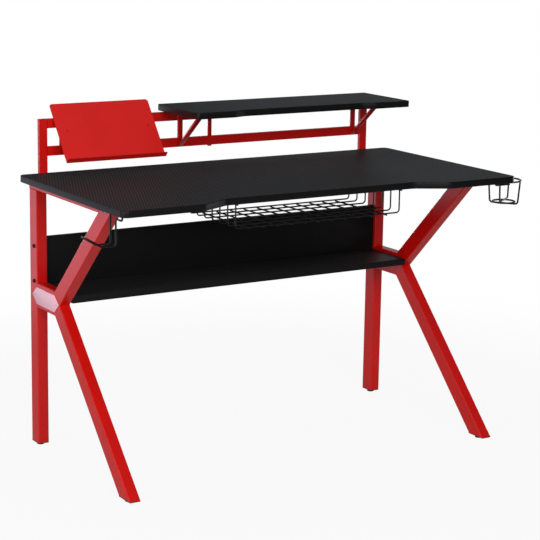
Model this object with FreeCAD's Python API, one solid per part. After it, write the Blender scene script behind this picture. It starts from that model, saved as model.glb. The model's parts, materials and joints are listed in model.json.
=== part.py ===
import FreeCAD, Part
import math
import os

# Gaming desk with K-shaped side frames, a rail frame behind the board, a hung monitor shelf and a
# hung tablet rest. X runs to the right, Y to the back and Z up. All lengths are in millimetres.

# Board of the desk
board_width = 1200.0
board_depth = 616.0
board_thickness = 18.0
desk_height = 750.0
board_corner_radius = 18.0
recess_depth = 45.0
recess_mouth_width = 752.0
recess_floor_width = 576.0
recess_bend_radius = 40.0
band_thickness = 2.0

# Tube of the side frames
tube_width = 31.0
tube_depth = 45.0
tube_wall = 1.5
tube_corner_radius = 3.0
side_overhang = 31.0
post_rear_inset = 1.0
top_bar_height = 20.0
crossbar_height = 67.0

# Knee where the two slanted legs meet, the top of the upper leg and the foot of the lower leg
knee_height = 425.5
knee_reach = 186.0
bar_front_inset = 137.0
front_foot_inset = 24.5

# Levelling feet
foot_height = 9.0
insert_flange = 2.0
insert_plug_height = 20.0
insert_clearance = 0.3
pad_radius = 10.0
pad_height = 6.0
pad_edge_radius = 1.5
stud_radius = 4.0
stud_collar_radius = 6.0
stud_top = 29.0
stud_clearance = 0.3
foot_stop_gap = 0.3
front_stud_shift = 4.0

# Plate on the knee
knee_plate_length = 163.5
knee_plate_height = 46.0
knee_plate_tip = 26.0
knee_plate_thickness = 2.0
knee_plate_setback = 100.5
rivet_inset = 11.5
rivet_radius = 1.6
rivet_head_radius = 3.2
rivet_head_height = 1.2

# Stretchers under the board
stretcher_wall = 1.5
stretcher_corner_radius = 2.0
middle_stretcher_depth = 40.0
middle_stretcher_y = 40.0
middle_plate_width = 72.0
rear_stretcher_depth = 20.0
rear_stretcher_height = 30.0
corner_plate_height = 70.0
end_plate_thickness = 3.0
rear_plate_front_gap = 13.0
middle_bolt_spacing = 54.0
rear_bolt_spacing = 30.0
upper_bolt_spacing = 15.0
rear_bolt_inset = 23.0

# Rail frame behind the board
upper_post_width = 25.0
upper_post_depth = 12.0
upper_post_wall = 1.2
upper_post_corner_radius = 2.0
upper_post_gap = 8.0
frame_gap = 3.5
lower_rail_rise = 43.5
rail_pitch = 75.0
rail_height = 25.5
tie_width = 12.0
tie_thickness = 4.0
tie_overhang = 5.0

# Back panel and lower shelf
panel_thickness = 12.0
panel_inset = 11.0
panel_height = 150.5
lower_shelf_rise = 6.5
lower_shelf_depth = 168.0
panel_bolt_low_inset = 30.5
panel_bolt_high_inset = 24.0
shelf_bolt_front_reach = 101.0
shelf_bolt_rear_reach = 37.0
access_hole_radius = 7.0
panel_screw_spacing = 420.0

# Bolts and screws
bolt_radius = 3.0
bolt_head_radius = 5.5
bolt_head_height = 4.0
bolt_reach = 14.0
bolt_tail = 6.0
panel_bolt_bite = 26.0
screw_radius = 2.0
screw_head_radius = 4.2
screw_head_height = 2.4
screw_bite = 11.0
hole_clearance = 0.15
head_rounding_share = 0.4
bar_screw_front_inset = 91.0
bar_screw_middle_inset = 271.0
bar_screw_rear_inset = 71.0

# Wire basket
basket_wire_radius = 2.0
basket_length = 505.0
basket_inset = 61.0
basket_drop = 63.0
basket_wire_pitch = 39.5
basket_wire_count = 7
basket_cross_pitch = 42.0
basket_cross_count = 11
basket_cross_overhang = 4.0
basket_bend_radius = 9.0
rim_overhang = 10.0
weld_depth = 0.5
wire_seat_gap = 0.3

# Mounting tabs of the wire goods
tab_radius = 8.0
tab_thickness = 2.0
tab_hole_radius = 2.3

# Headphone hook
wire_radius = 2.5
wire_bend_radius = 7.0
hook_side_inset = 25.0
hook_front_inset = 88.0
hook_loop_width = 29.0
hook_drop = 83.0
hook_arm_length = 39.0
hook_tip_run = 41.0
hook_tip_rise = 24.5
hook_crank_length = 35.0
hook_crank_drop = 16.5
hook_foot_length = 29.0
hook_rear_foot_length = 8.0

# Cup holder
cup_side_reach = 48.0
cup_inset = 110.0
cup_ring_radius = 45.0
cup_ring_drop = 11.5
cup_base_radius = 40.0
cup_base_drop = 72.0
cup_floor_ring_radius = 31.0
cup_bend_radius = 8.0
cup_wire_angle = 35.0
cup_arm_front_offset = 42.0
cup_arm_rear_offset = 6.0
cup_arm_turn_inset = 16.0
cup_foot_inset = 47.0

# Monitor shelf and its brackets
shelf_width = 700.0
shelf_depth = 232.0
shelf_rear_inset = 3.0
shelf_centre_x = 178.0
shelf_corner_radius = 8.0
shelf_recess_depth = 13.0
shelf_recess_mouth_width = 466.0
shelf_recess_floor_width = 384.0
bracket_span = 585.0
bracket_shift = 9.0
bracket_bar_width = 15.0
bracket_bar_thickness = 6.0
bracket_rail_inset = 2.0
arm_thickness = 5.0
arm_length = 144.0
strut_reach = 136.0
hook_lip_height = 12.0
slide_gap = 0.3
arm_screw_front_reach = 100.0
arm_screw_rear_reach = 50.0

# Tablet rest
rest_width = 298.5
rest_length = 183.5
rest_lip = 18.5
rest_lip_lean = 12.5
rest_sheet = 1.5
rest_angle = 52.6
rest_centre_x = -346.75
rest_above_hook = 40.0
rest_corner_radius = 8.0
rest_lip_corner_radius = 3.5
rest_fold_radius = 2.0
rest_bracket_span = 243.0
rest_bracket_thickness = 4.0
rest_bracket_leg = 75.0
rest_screw_drop = 45.0
rest_screw_radius = 2.0
rest_screw_head_radius = 3.8
rest_screw_head_height = 1.6
rest_screw_tail = 3.0

# Lengths that follow from the ones above
overrun = board_thickness
underside = desk_height - board_thickness
bar_bottom = underside - top_bar_height
board_rear_y = board_depth / 2
board_front_y = -board_depth / 2
frame_outer_x = board_width / 2 - side_overhang
frame_inner_x = frame_outer_x - tube_width
frame_middle_x = frame_outer_x - tube_width / 2
post_rear_y = board_rear_y - post_rear_inset
post_front_y = post_rear_y - tube_depth
knee_front_y = post_rear_y - knee_reach
knee_plate_centre_y = post_rear_y - knee_plate_setback
front_foot_y = board_front_y + front_foot_inset
rear_bolt_y = post_front_y + rear_bolt_inset
bar_front_y = board_front_y + bar_front_inset
upper_leg_angle = math.degrees(math.atan2(knee_front_y - bar_front_y, bar_bottom - knee_height))
upper_leg_run = math.tan(math.radians(upper_leg_angle))
upper_leg_section = tube_depth / math.cos(math.radians(upper_leg_angle))
crossbar_front_y = knee_front_y + upper_leg_section - crossbar_height / 2 * upper_leg_run
lower_leg_drop = knee_height - foot_height
lower_leg_angle = math.degrees(math.atan2(knee_front_y - front_foot_y, lower_leg_drop))
lower_leg_section = tube_depth / math.cos(math.radians(lower_leg_angle))
bar_screw_front_y = bar_front_y + bar_screw_front_inset
bar_screw_middle_y = bar_front_y + bar_screw_middle_inset
bar_screw_rear_y = post_rear_y - bar_screw_rear_inset
front_stud_y = front_foot_y + lower_leg_section / 2 + front_stud_shift
rear_stud_y = post_rear_y - tube_depth / 2
rail_front_y = board_rear_y + upper_post_gap
rail_rear_y = rail_front_y + upper_post_depth
upper_post_outer_x = frame_inner_x - frame_gap
upper_post_inner_x = upper_post_outer_x - upper_post_width
upper_post_middle_x = upper_post_outer_x - upper_post_width / 2
lower_rail_bottom = desk_height + lower_rail_rise
upper_rail_bottom = lower_rail_bottom + rail_pitch
upper_rail_top = upper_rail_bottom + rail_height
rear_stretcher_bottom = underside - rear_stretcher_height
rear_stretcher_middle = underside - rear_stretcher_height / 2
corner_plate_bottom = underside - corner_plate_height
corner_plate_middle = underside - corner_plate_height / 2
panel_front_y = post_front_y + panel_inset
lower_shelf_bottom = knee_height + lower_shelf_rise
lower_shelf_middle = lower_shelf_bottom + board_thickness / 2
lower_shelf_front_y = panel_front_y - lower_shelf_depth
shelf_bolt_front_y = panel_front_y - shelf_bolt_front_reach
shelf_bolt_rear_y = panel_front_y - shelf_bolt_rear_reach
panel_top = lower_shelf_bottom + panel_height
panel_bolt_low = lower_shelf_bottom + panel_bolt_low_inset
panel_bolt_high = panel_top - panel_bolt_high_inset
panel_rear_y = panel_front_y + panel_thickness
panel_middle_y = panel_front_y + panel_thickness / 2
arm_bottom = upper_rail_top + slide_gap
shelf_bottom = arm_bottom + arm_thickness
shelf_rear_y = rail_rear_y - shelf_rear_inset
arm_front_y = shelf_rear_y - arm_length
strut_front_y = shelf_rear_y - strut_reach
arm_screw_front_y = shelf_rear_y - arm_screw_front_reach
arm_screw_rear_y = shelf_rear_y - arm_screw_rear_reach
bracket_low = lower_rail_bottom + bracket_rail_inset
bracket_rear_y = rail_front_y - slide_gap
bracket_front_y = bracket_rear_y - bracket_bar_thickness
rest_hook_top = upper_rail_top + slide_gap + rest_bracket_thickness
rest_hook_y = rail_front_y - slide_gap - rest_bracket_thickness
rest_up_y = math.cos(math.radians(rest_angle))
rest_up_z = math.sin(math.radians(rest_angle))
basket_front_y = board_front_y + basket_inset
basket_bottom = underside - basket_drop
basket_rear_y = basket_front_y + (basket_wire_count - 1) * basket_wire_pitch
basket_rim_height = underside - wire_seat_gap - basket_wire_radius
wire_foot_height = underside - wire_seat_gap - wire_radius
tab_top = underside - wire_seat_gap
hook_x = hook_side_inset - board_width / 2
hook_elbow_x = hook_x - hook_arm_length
hook_tip_x = hook_elbow_x - hook_tip_run
hook_foot_x = hook_x + hook_foot_length
hook_rear_foot_x = hook_x - hook_rear_foot_length
hook_front_y = board_front_y + hook_front_inset
hook_rear_y = hook_front_y + hook_loop_width
hook_crank_y = hook_front_y - hook_crank_length
hook_bottom = underside - hook_drop
hook_tip_height = hook_bottom + hook_tip_rise
hook_crank_height = underside - hook_crank_drop
cup_x = board_width / 2 + cup_side_reach
cup_y = board_front_y + cup_inset
cup_ring_height = underside - cup_ring_drop
cup_base_height = underside - cup_base_drop
cup_arm_front_y = cup_y - cup_arm_front_offset
cup_arm_rear_y = cup_y - cup_arm_rear_offset
cup_arm_turn_x = board_width / 2 - cup_arm_turn_inset
cup_foot_x = board_width / 2 - cup_foot_inset
cup_arm_height = cup_ring_height - 2 * wire_radius + weld_depth

# The origin is on the floor, below the middle of the whole desk with its hook and cup holder.
reach_left = hook_tip_x - wire_radius
reach_right = cup_x + cup_ring_radius + wire_radius
reach_front = board_front_y
reach_rear = rest_hook_y + rest_above_hook * rest_up_y
origin_x = (reach_left + reach_right) / 2
origin_y = (reach_front + reach_rear) / 2

X_AXIS = FreeCAD.Vector(1, 0, 0)
Y_AXIS = FreeCAD.Vector(0, 1, 0)
Z_AXIS = FreeCAD.Vector(0, 0, 1)
ZERO = FreeCAD.Vector(0, 0, 0)
QUARTER_TURN = 90


def block(x_low, x_high, y_low, y_high, z_low, z_high):
    """Make a box from its limits."""
    corner = FreeCAD.Vector(x_low, y_low, z_low)
    return Part.makeBox(x_high - x_low, y_high - y_low, z_high - z_low, corner)


def rod(start, direction, radius, length):
    """Make a cylinder from a start point along a direction."""
    return Part.makeCylinder(radius, length, start, direction)


def mirrored(shape):
    """Mirror a shape to the other side of the desk."""
    return shape.mirror(ZERO, X_AXIS)


def both_sides(shape):
    """Return a shape and its mirror image as one group."""
    return Part.makeCompound([shape, mirrored(shape)])


def prism(width, depth, length, corner_radius):
    """Make an upright bar with rounded long edges, centred on Z and standing at zero."""
    bar = block(-width / 2, width / 2, -depth / 2, depth / 2, 0, length)
    upright = [edge for edge in bar.Edges if abs(edge.tangentAt(edge.FirstParameter).z) == 1]
    return bar.makeFillet(corner_radius, upright)


def tube(width, depth, length, wall, corner_radius):
    """Make an upright open tube, centred on Z and standing at zero."""
    outside = prism(width, depth, length, corner_radius)
    inside = prism(width - 2 * wall, depth - 2 * wall, length, corner_radius - wall)
    return outside.cut(inside)


def lay_along_y(shape, start):
    """Lay an upright shape down towards the back and move its foot to a start point."""
    shape.rotate(ZERO, X_AXIS, -QUARTER_TURN)
    shape.translate(start)
    return shape


def lay_along_x(shape, start):
    """Lay an upright shape down towards the right and move its foot to a start point."""
    shape.rotate(ZERO, Y_AXIS, QUARTER_TURN)
    shape.translate(start)
    return shape


def outline(points, radii):
    """Make a flat face at zero height from corner points, each corner rounded by its own radius."""
    corners = [FreeCAD.Vector(x, y, 0) for x, y in points]
    count = len(corners)
    arcs = []
    for index in range(count):
        after = corners[(index + 1) % count]
        arcs.append(corner_arc(corners[index - 1], corners[index], after, radii[index]))
    edges = []
    for index in range(count):
        edges.append(Part.makeLine(arcs[index - 1][2], arcs[index][0]))
        edges.append(Part.Arc(*arcs[index]).toShape())
    return Part.Face(Part.Wire(edges))


def corner_arc(before, corner, after, radius):
    """Return the start, middle and end of the arc that rounds a corner."""
    inward = (before - corner).normalize()
    outward = (after - corner).normalize()
    half_angle = inward.getAngle(outward) / 2
    setback = radius / math.tan(half_angle)
    bisector = (inward + outward).normalize()
    middle = corner + bisector * (radius / math.sin(half_angle) - radius)
    return corner + inward * setback, middle, corner + outward * setback


def bent_wire(points, bend_radius, radius):
    """Sweep a round wire along straight runs joined by bends."""
    corners = [FreeCAD.Vector(*point) for point in points]
    edges = []
    start = corners[0]
    for before, corner, after in zip(corners, corners[1:], corners[2:]):
        arc = corner_arc(before, corner, after, bend_radius)
        edges.append(Part.makeLine(start, arc[0]))
        edges.append(Part.Arc(*arc).toShape())
        start = arc[2]
    edges.append(Part.makeLine(start, corners[-1]))
    section = Part.Wire(Part.makeCircle(radius, corners[0], corners[1] - corners[0]))
    return Part.Wire(edges).makePipeShell([section], True, False)


def headed_pin(seat, direction, head_radius, head_height, pin_radius, length):
    """Make a pin that runs along a direction from its seat, with a head on the other side."""
    crown = seat - direction * head_height
    head = rod(crown, direction, head_radius, head_height)
    rims = [edge for edge in head.Edges if edge.isClosed()]
    far_rims = [rim for rim in rims if (rim.CenterOfMass - crown).Length < head_height / 2]
    head = head.makeFillet(head_height * head_rounding_share, far_rims)
    return head.fuse(rod(seat, direction, pin_radius, length)).removeSplitter()


def hole(seat, direction, radius, length):
    """Make the tool that drills a hole from a seat along a direction."""
    return rod(seat - direction * overrun, direction, radius + hole_clearance, length + 2 * overrun)


def blind_hole(seat, direction, radius, length):
    """Make the tool that drills a hole of one length from a seat."""
    return rod(seat, direction, radius + hole_clearance, length + hole_clearance)


def drilled(shape, tools):
    """Cut a list of drilling tools out of a shape."""
    return shape.cut(tools)


def wood_screw(seat):
    """Make a pan-head screw that goes up into the board from a seat below it."""
    length = underside - seat.z + screw_bite
    return headed_pin(seat, Z_AXIS, screw_head_radius, screw_head_height, screw_radius, length)


def board_hole(x, y):
    """Make the tool for a screw hole in the underside of the board."""
    return blind_hole(FreeCAD.Vector(x, y, underside), Z_AXIS, screw_radius, screw_bite)


def panel_with_band(width, rear_y, depth, thickness, radii, recess, centre_x, bottom):
    """Make a board with a front recess and the band around its edge."""
    recess_cut, mouth, floor, bend = recess
    front_y = rear_y - depth
    points = [
        (centre_x - width / 2, rear_y),
        (centre_x + width / 2, rear_y),
        (centre_x + width / 2, front_y),
        (centre_x + mouth / 2, front_y),
        (centre_x + floor / 2, front_y + recess_cut),
        (centre_x - floor / 2, front_y + recess_cut),
        (centre_x - mouth / 2, front_y),
        (centre_x - width / 2, front_y),
    ]
    face = outline(points, [radii, radii, radii, bend, bend, bend, bend, radii])
    core_face = face.makeOffset2D(-band_thickness)
    core = core_face.extrude(Z_AXIS * thickness)
    band = face.extrude(Z_AXIS * thickness).cut(core)
    core.translate(Z_AXIS * bottom)
    band.translate(Z_AXIS * bottom)
    return core, band


def slanted(section, angle, front_y):
    """Tilt an upright bar about the knee so that its front face passes through the knee line."""
    section.translate(Y_AXIS * (tube_depth / 2))
    section.rotate(ZERO, X_AXIS, angle)
    section.translate(FreeCAD.Vector(-frame_middle_x, front_y, knee_height))
    return section


def leg_blank(angle, length, trim):
    """Make a long slanted tube through the knee, or its filling when trim is above zero."""
    if trim:
        inset = 2 * (tube_wall + trim)
        bar = prism(tube_width - inset, tube_depth - inset, 2 * length, tube_corner_radius - tube_wall)
    else:
        bar = tube(tube_width, tube_depth, 2 * length, tube_wall, tube_corner_radius)
    bar.translate(Z_AXIS * -length)
    return slanted(bar, angle, knee_front_y)


def leg_zone(z_low, z_high):
    """Make the box that a slanted leg is trimmed to."""
    return block(-frame_outer_x, -frame_inner_x, -board_depth, crossbar_front_y, z_low, z_high)


def side_point(y, z):
    """Return a point on the outer face of the left side frame."""
    return FreeCAD.Vector(-frame_outer_x, y, z)


def rest_point(along, out, x):
    """Return a point at a distance along and out of the back of the tablet rest."""
    y = rest_hook_y + along * rest_up_y - out * rest_up_z
    z = rest_hook_top + along * rest_up_z + out * rest_up_y
    return FreeCAD.Vector(x, y, z)


def plate_of(points, x_low, width):
    """Extrude a polygon of points in the YZ plane towards the right."""
    corners = [FreeCAD.Vector(x_low, y, z) for y, z in points]
    corners.append(corners[0])
    return Part.Face(Part.makePolygon(corners)).extrude(X_AXIS * width)


def tab(x, y):
    """Make the round tab that a screw holds against the underside of the board."""
    return rod(FreeCAD.Vector(x, y, tab_top - tab_thickness), Z_AXIS, tab_radius, tab_thickness)


def tab_bore(x, y):
    """Make the tool for the hole in a tab."""
    return rod(FreeCAD.Vector(x, y, tab_top - overrun), Z_AXIS, tab_hole_radius, 2 * overrun)


def tab_screw(x, y):
    """Make the screw of a tab."""
    return wood_screw(FreeCAD.Vector(x, y, tab_top - tab_thickness))


def edges_near(shape, points):
    """Return the edges of a shape whose middles lie on one of the points."""
    found = []
    for edge in shape.Edges:
        if min((edge.CenterOfMass - point).Length for point in points) < rest_sheet / 2:
            found.append(edge)
    return found


nodes = {}

# Board and edge band
desk_recess = (recess_depth, recess_mouth_width, recess_floor_width, recess_bend_radius)
board, board_band = panel_with_band(
    board_width, board_rear_y, board_depth, board_thickness, board_corner_radius, desk_recess, 0, underside
)

# Side frame, built on the left and mirrored to the right
post = tube(tube_width, tube_depth, bar_bottom - foot_height, tube_wall, tube_corner_radius)
post.translate(FreeCAD.Vector(-frame_middle_x, rear_stud_y, foot_height))
top_bar = tube(tube_width, top_bar_height, post_rear_y - bar_front_y, tube_wall, tube_corner_radius)
lay_along_y(top_bar, FreeCAD.Vector(-frame_middle_x, bar_front_y, underside - top_bar_height / 2))
crossbar = tube(tube_width, crossbar_height, post_front_y - crossbar_front_y, tube_wall, tube_corner_radius)
lay_along_y(crossbar, FreeCAD.Vector(-frame_middle_x, crossbar_front_y, knee_height))
upper_leg = leg_blank(upper_leg_angle, desk_height, 0).common(leg_zone(knee_height, underside))
lower_leg = leg_blank(-lower_leg_angle, desk_height, 0).common(leg_zone(foot_height, knee_height))
leg_form = block(
    -tube_width / 2, tube_width / 2, -tube_depth / 2, tube_depth / 2, -desk_height, desk_height
)
top_bar = top_bar.cut(slanted(leg_form, upper_leg_angle, knee_front_y))

# Plate and rivets on the knee
knee_plate_points = [
    (knee_plate_centre_y - knee_plate_length / 2, knee_height),
    (knee_plate_centre_y - knee_plate_length / 2 + knee_plate_tip, knee_height - knee_plate_height / 2),
    (knee_plate_centre_y + knee_plate_length / 2 - knee_plate_tip, knee_height - knee_plate_height / 2),
    (knee_plate_centre_y + knee_plate_length / 2, knee_height),
    (knee_plate_centre_y + knee_plate_length / 2 - knee_plate_tip, knee_height + knee_plate_height / 2),
    (knee_plate_centre_y - knee_plate_length / 2 + knee_plate_tip, knee_height + knee_plate_height / 2),
]
knee_plate = plate_of(knee_plate_points, -frame_outer_x - knee_plate_thickness, knee_plate_thickness)
rivet_front_y = knee_plate_centre_y - knee_plate_length / 2 + rivet_inset
rivet_rear_y = knee_plate_centre_y + knee_plate_length / 2 - rivet_inset
rivet_length = knee_plate_thickness + tube_wall
rivets = []
rivet_holes = []
for rivet_y in (rivet_front_y, rivet_rear_y):
    seat = side_point(rivet_y, knee_height) - X_AXIS * knee_plate_thickness
    rivets.append(
        headed_pin(seat, X_AXIS, rivet_head_radius, rivet_head_height, rivet_radius, rivet_length)
    )
    rivet_holes.append(rod(seat, X_AXIS, rivet_radius + hole_clearance, rivet_length + overrun / 2))

# Bolts through the rear posts into the ends of the back panel
panel_bolts = []
panel_bolt_holes = []
for bolt_z in (panel_bolt_low, panel_bolt_high):
    seat = side_point(panel_middle_y, bolt_z)
    reach = tube_width + panel_bolt_bite
    panel_bolts.append(headed_pin(seat, X_AXIS, bolt_head_radius, bolt_head_height, bolt_radius, reach))
    panel_bolt_holes.append(blind_hole(seat, X_AXIS, bolt_radius, reach))

# Bolts inside the crossbars into the ends of the lower shelf, put in through holes under the plate
shelf_bolts = []
shelf_bolt_holes = []
access_holes = []
for bolt_y in (shelf_bolt_front_y, shelf_bolt_rear_y):
    seat = FreeCAD.Vector(-frame_inner_x - tube_wall, bolt_y, lower_shelf_middle)
    reach = tube_wall + panel_bolt_bite
    shelf_bolts.append(headed_pin(seat, X_AXIS, bolt_head_radius, bolt_head_height, bolt_radius, reach))
    shelf_bolt_holes.append(blind_hole(seat, X_AXIS, bolt_radius, reach))
    access_start = side_point(bolt_y, lower_shelf_middle)
    access_holes.append(rod(access_start, X_AXIS, access_hole_radius, tube_width / 2))

# Screws that hold the board on the top bars
bar_screws = []
bar_holes = []
board_holes = []
for screw_y in (bar_screw_front_y, bar_screw_middle_y, bar_screw_rear_y):
    seat = FreeCAD.Vector(-frame_middle_x, screw_y, bar_bottom)
    bar_screws.append(wood_screw(seat))
    bar_holes.append(hole(seat, Z_AXIS, screw_radius, top_bar_height))
    board_holes.append(board_hole(-frame_middle_x, screw_y))
    board_holes.append(board_hole(frame_middle_x, screw_y))

# Stretchers, each a tube with a plate at both ends that is bolted to the side frames
span = 2 * frame_inner_x - 2 * end_plate_thickness
middle = tube(top_bar_height, middle_stretcher_depth, span, stretcher_wall, stretcher_corner_radius)
lay_along_x(middle, FreeCAD.Vector(-span / 2, middle_stretcher_y, underside - top_bar_height / 2))
middle_plate = block(
    -frame_inner_x,
    -frame_inner_x + end_plate_thickness,
    middle_stretcher_y - middle_plate_width / 2,
    middle_stretcher_y + middle_plate_width / 2,
    bar_bottom,
    underside,
)
rear_tube_y = rail_front_y - rear_stretcher_depth / 2
rear = tube(rear_stretcher_height, rear_stretcher_depth, span, stretcher_wall, stretcher_corner_radius)
lay_along_x(rear, FreeCAD.Vector(-span / 2, rear_tube_y, rear_stretcher_middle))
side_plate = block(
    -frame_inner_x,
    -frame_inner_x + end_plate_thickness,
    post_front_y + rear_plate_front_gap,
    rail_front_y,
    corner_plate_bottom,
    underside,
)
back_plate = block(
    -frame_inner_x,
    -upper_post_inner_x,
    rail_front_y - end_plate_thickness,
    rail_front_y,
    rear_stretcher_bottom,
    underside,
)
corner_plate = side_plate.fuse(back_plate)
stretcher_bolts = []
stretcher_holes = []
bolt_places = [
    (middle_stretcher_y - middle_bolt_spacing / 2, underside - top_bar_height / 2),
    (middle_stretcher_y + middle_bolt_spacing / 2, underside - top_bar_height / 2),
    (rear_bolt_y, corner_plate_middle - rear_bolt_spacing / 2),
    (rear_bolt_y, corner_plate_middle + rear_bolt_spacing / 2),
]
for bolt_y, bolt_z in bolt_places:
    seat = FreeCAD.Vector(-frame_inner_x + end_plate_thickness, bolt_y, bolt_z)
    outward = X_AXIS * -1
    stretcher_bolts.append(
        headed_pin(seat, outward, bolt_head_radius, bolt_head_height, bolt_radius, bolt_reach)
    )
    stretcher_holes.append(blind_hole(seat, outward, bolt_radius, bolt_reach))

# Rail frame
rail_middle_y = rail_front_y + upper_post_depth / 2
post_length = upper_rail_top - rear_stretcher_bottom
upper_post = prism(upper_post_width, upper_post_depth, post_length, upper_post_corner_radius)
post_bore = prism(
    upper_post_width - 2 * upper_post_wall,
    upper_post_depth - 2 * upper_post_wall,
    post_length - upper_post_wall,
    upper_post_corner_radius - upper_post_wall,
)
upper_post = upper_post.cut(post_bore)
upper_post.translate(FreeCAD.Vector(-upper_post_middle_x, rail_middle_y, rear_stretcher_bottom))
upper_bolts = []
upper_bolt_holes = []
for bolt_share in (-1, 1):
    bolt_z = rear_stretcher_middle + bolt_share * upper_bolt_spacing / 2
    seat = FreeCAD.Vector(-upper_post_middle_x, rail_rear_y, bolt_z)
    inward = Y_AXIS * -1
    reach = upper_post_depth + end_plate_thickness + bolt_tail
    upper_bolts.append(headed_pin(seat, inward, bolt_head_radius, bolt_head_height, bolt_radius, reach))
    upper_bolt_holes.append(blind_hole(seat, inward, bolt_radius, reach))
rail_length = 2 * upper_post_inner_x
rail = tube(rail_height, upper_post_depth, rail_length, upper_post_wall, upper_post_corner_radius)
rail_start = FreeCAD.Vector(-upper_post_inner_x, rail_middle_y, upper_rail_bottom + rail_height / 2)
lay_along_x(rail, rail_start)
low_rail = rail.copy()
low_rail.translate(Z_AXIS * -rail_pitch)
tie = block(
    -tie_width / 2,
    tie_width / 2,
    rail_rear_y,
    rail_rear_y + tie_thickness,
    lower_rail_bottom - tie_overhang,
    upper_rail_top - tie_overhang,
)

# Back panel and lower shelf
panel_body = block(
    -frame_inner_x, frame_inner_x, panel_front_y, panel_rear_y, lower_shelf_bottom, panel_top
)
lower_board = block(
    -frame_inner_x,
    frame_inner_x,
    lower_shelf_front_y,
    panel_front_y,
    lower_shelf_bottom,
    lower_shelf_bottom + board_thickness,
)
panel_screws = []
panel_screw_holes = []
for screw_share in (-1, 0, 1):
    seat = FreeCAD.Vector(screw_share * panel_screw_spacing, panel_rear_y, lower_shelf_middle)
    reach = panel_thickness + panel_bolt_bite
    inward = Y_AXIS * -1
    panel_screws.append(
        headed_pin(seat, inward, screw_head_radius, screw_head_height, screw_radius, reach)
    )
    panel_screw_holes.append(blind_hole(seat, inward, screw_radius, reach))

# Wire basket
long_wires = []
wire_top = basket_rim_height - 2 * basket_wire_radius + weld_depth
for index in range(basket_wire_count):
    wire_y = basket_front_y + index * basket_wire_pitch
    run = [
        (-basket_length / 2, wire_y, wire_top + basket_wire_radius),
        (-basket_length / 2, wire_y, basket_bottom),
        (basket_length / 2, wire_y, basket_bottom),
        (basket_length / 2, wire_y, wire_top + basket_wire_radius),
    ]
    long_wires.append(bent_wire(run, basket_bend_radius, basket_wire_radius))
cross_wires = []
cross_length = basket_rear_y - basket_front_y + 2 * basket_cross_overhang
for index in range(basket_cross_count):
    wire_x = (index - (basket_cross_count - 1) / 2) * basket_cross_pitch
    start = FreeCAD.Vector(
        wire_x, basket_front_y - basket_cross_overhang, basket_bottom - 2 * basket_wire_radius + weld_depth
    )
    cross_wires.append(rod(start, Y_AXIS, basket_wire_radius, cross_length))
accessory_screws = []
rim_start = FreeCAD.Vector(-basket_length / 2, basket_front_y - rim_overhang, basket_rim_height)
rim_length = basket_rear_y - basket_front_y + 2 * rim_overhang
rim = rod(rim_start, Y_AXIS, basket_wire_radius, rim_length)
rim_tab_x = -basket_length / 2 - tab_radius + basket_wire_radius / 2
rim_tabs = [
    (rim_tab_x, basket_front_y + basket_wire_pitch / 2),
    (rim_tab_x, basket_rear_y - basket_wire_pitch / 2),
]
for tab_x, tab_y in rim_tabs:
    rim = rim.fuse(tab(tab_x, tab_y))
    board_holes.append(board_hole(tab_x, tab_y))
    board_holes.append(board_hole(-tab_x, tab_y))
    accessory_screws.append(tab_screw(tab_x, tab_y))
    accessory_screws.append(tab_screw(-tab_x, tab_y))
rim = rim.cut([tab_bore(tab_x, tab_y) for tab_x, tab_y in rim_tabs])

# Headphone hook, one wire with a tab at each end
hook_run = [
    (hook_rear_foot_x, hook_rear_y, wire_foot_height),
    (hook_x, hook_rear_y, wire_foot_height),
    (hook_x, hook_rear_y, hook_bottom),
    (hook_elbow_x, hook_rear_y, hook_bottom),
    (hook_tip_x, hook_rear_y, hook_tip_height),
    (hook_tip_x, hook_front_y, hook_tip_height),
    (hook_elbow_x, hook_front_y, hook_bottom),
    (hook_x, hook_front_y, hook_bottom),
    (hook_x, hook_front_y, hook_crank_height),
    (hook_x, hook_crank_y, hook_crank_height),
    (hook_x, hook_crank_y, wire_foot_height),
    (hook_foot_x, hook_crank_y, wire_foot_height),
]
hook = bent_wire(hook_run, wire_bend_radius, wire_radius)
hook_tabs = [
    (hook_rear_foot_x - tab_radius + wire_radius, hook_rear_y),
    (hook_foot_x + tab_radius - wire_radius, hook_crank_y),
]
for tab_x, tab_y in hook_tabs:
    hook = hook.fuse(tab(tab_x, tab_y))
    board_holes.append(board_hole(tab_x, tab_y))
    accessory_screws.append(tab_screw(tab_x, tab_y))
hook = hook.cut([tab_bore(tab_x, tab_y) for tab_x, tab_y in hook_tabs])

# Cup holder
cup_top = FreeCAD.Vector(cup_x, cup_y, cup_ring_height)
cup_base = FreeCAD.Vector(cup_x, cup_y, cup_base_height)
top_ring = Part.makeTorus(cup_ring_radius, wire_radius, cup_top, Z_AXIS)
floor_ring = Part.makeTorus(cup_floor_ring_radius, wire_radius, cup_base, Z_AXIS)
cup_wires = []
for turn, level_share in ((cup_wire_angle, 1), (cup_wire_angle - QUARTER_TURN, -1)):
    level = cup_base_height + level_share * (2 * wire_radius - weld_depth)
    cos_turn = math.cos(math.radians(turn))
    sin_turn = math.sin(math.radians(turn))
    run = [
        (cup_x + cup_ring_radius * cos_turn, cup_y + cup_ring_radius * sin_turn, cup_ring_height),
        (cup_x + cup_base_radius * cos_turn, cup_y + cup_base_radius * sin_turn, level),
        (cup_x - cup_base_radius * cos_turn, cup_y - cup_base_radius * sin_turn, level),
        (cup_x - cup_ring_radius * cos_turn, cup_y - cup_ring_radius * sin_turn, cup_ring_height),
    ]
    cup_wires.append(bent_wire(run, cup_bend_radius, wire_radius))
cup_arms = []
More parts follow.
